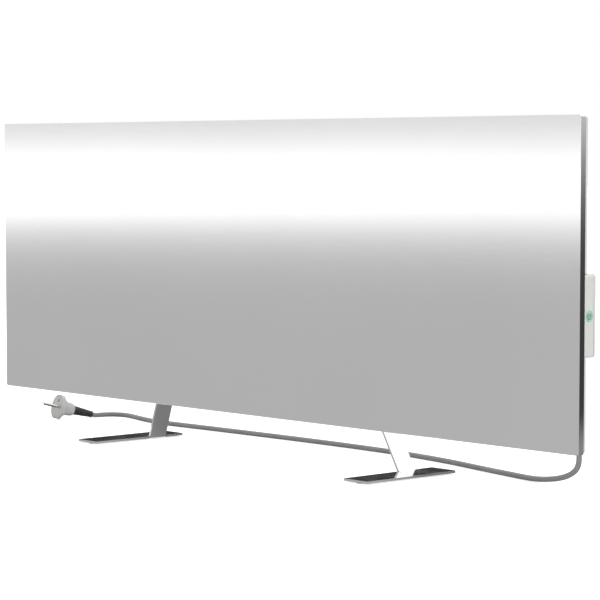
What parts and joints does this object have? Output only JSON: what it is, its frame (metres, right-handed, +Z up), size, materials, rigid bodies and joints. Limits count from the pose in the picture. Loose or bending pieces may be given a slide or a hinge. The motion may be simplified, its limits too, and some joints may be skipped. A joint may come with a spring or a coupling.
{
  "type": "infrared panel heater",
  "caption": "Wide, thin free-standing infrared panel heater with a mirror-satin front, bent sheet feet, an edge control box with a lit push-button and a mains lead.",
  "frame": {"origin": "on the floor, midway between the feet and halfway along them", "axes": "+X along the panel towards the control box, +Y from the radiating front to the back, +Z up"},
  "size_m": [1.16, 0.2538, 0.457],
  "materials": {
    "radiating_tray": "satin polished sheet, mirror-like at a low angle",
    "cover_steel": "white powder coat, fine grain",
    "foot_steel": "polished stainless sheet",
    "plated_steel": "zinc plated",
    "pad_rubber": "matt moulded rubber",
    "box_plastic": "fine-textured moulded plastic",
    "button_cap": "turned and brushed",
    "ring_lens": "translucent green, lit",
    "gland_rubber": "soft moulded boot",
    "clamp_plastic": "moulded",
    "terminal_ceramic": "glazed",
    "carbon_film": "printed film",
    "foil": "bright foil",
    "mineral_board": "pressed fibre",
    "live_sleeve": "extruded sleeve",
    "neutral_sleeve": "extruded sleeve",
    "earth_sleeve": "extruded sleeve",
    "cord_sheath": "soft grey sheath",
    "plug_plastic": "grey moulded plastic",
    "plug_nickel": "nickel plated brass"
  },
  "bodies": {
    "heater": {"front_panel": "radiating_tray", "rear_cover": "cover_steel", "foot_left": "foot_steel", "foot_right": "foot_steel", "cover_screw_1": "plated_steel", "cover_screw_2": "plated_steel", "cover_screw_3": "plated_steel", "cover_screw_4": "plated_steel", "cover_screw_5": "plated_steel", "cover_screw_6": "plated_steel", "cover_screw_7": "plated_steel", "cover_screw_8": "plated_steel", "cover_screw_9": "plated_steel", "cover_screw_10": "plated_steel", "foot_screw_left_1": "plated_steel", "foot_screw_left_2": "plated_steel", "foot_screw_right_1": "plated_steel", "foot_screw_right_2": "plated_steel", "lid_screw_1": "plated_steel", "lid_screw_2": "plated_steel", "clamp_screw_1": "plated_steel", "clamp_screw_2": "plated_steel", "backing_plate_left": "plated_steel", "backing_plate_right": "plated_steel", "switch_nut": "plated_steel", "switch_housing": "plated_steel", "pad_left_front": "pad_rubber", "pad_left_back": "pad_rubber", "pad_right_front": "pad_rubber", "pad_right_back": "pad_rubber", "box_base": "box_plastic", "box_lid": "box_plastic", "ring_light": "ring_lens", "cord_gland": "gland_rubber", "plug_boot": "gland_rubber", "cord_clamp": "clamp_plastic", "terminal_block": "terminal_ceramic", "thermal_cutout_left": "terminal_ceramic", "thermal_cutout_right": "terminal_ceramic", "heating_film": "carbon_film", "reflector_foil": "foil", "insulation_board": "mineral_board", "lead_live": "live_sleeve", "lead_link": "live_sleeve", "core_live": "live_sleeve", "lead_neutral": "neutral_sleeve", "core_neutral": "neutral_sleeve", "core_earth": "earth_sleeve", "cord": "cord_sheath", "cord_tail": "cord_sheath", "plug_body": "plug_plastic", "plug_pin_1": "plug_nickel", "plug_pin_2": "plug_nickel", "plug_clip_1": "plug_nickel", "plug_clip_2": "plug_nickel"},
    "button": {"power_button": "button_cap"}
  },
  "joints": [
    {"name": "power_button", "type": "slide", "parent": "heater", "child": "button", "axis": [-1, 0, 0], "range_m": [0, 0.002], "stiffness_N_per_m": 400}
  ]
}
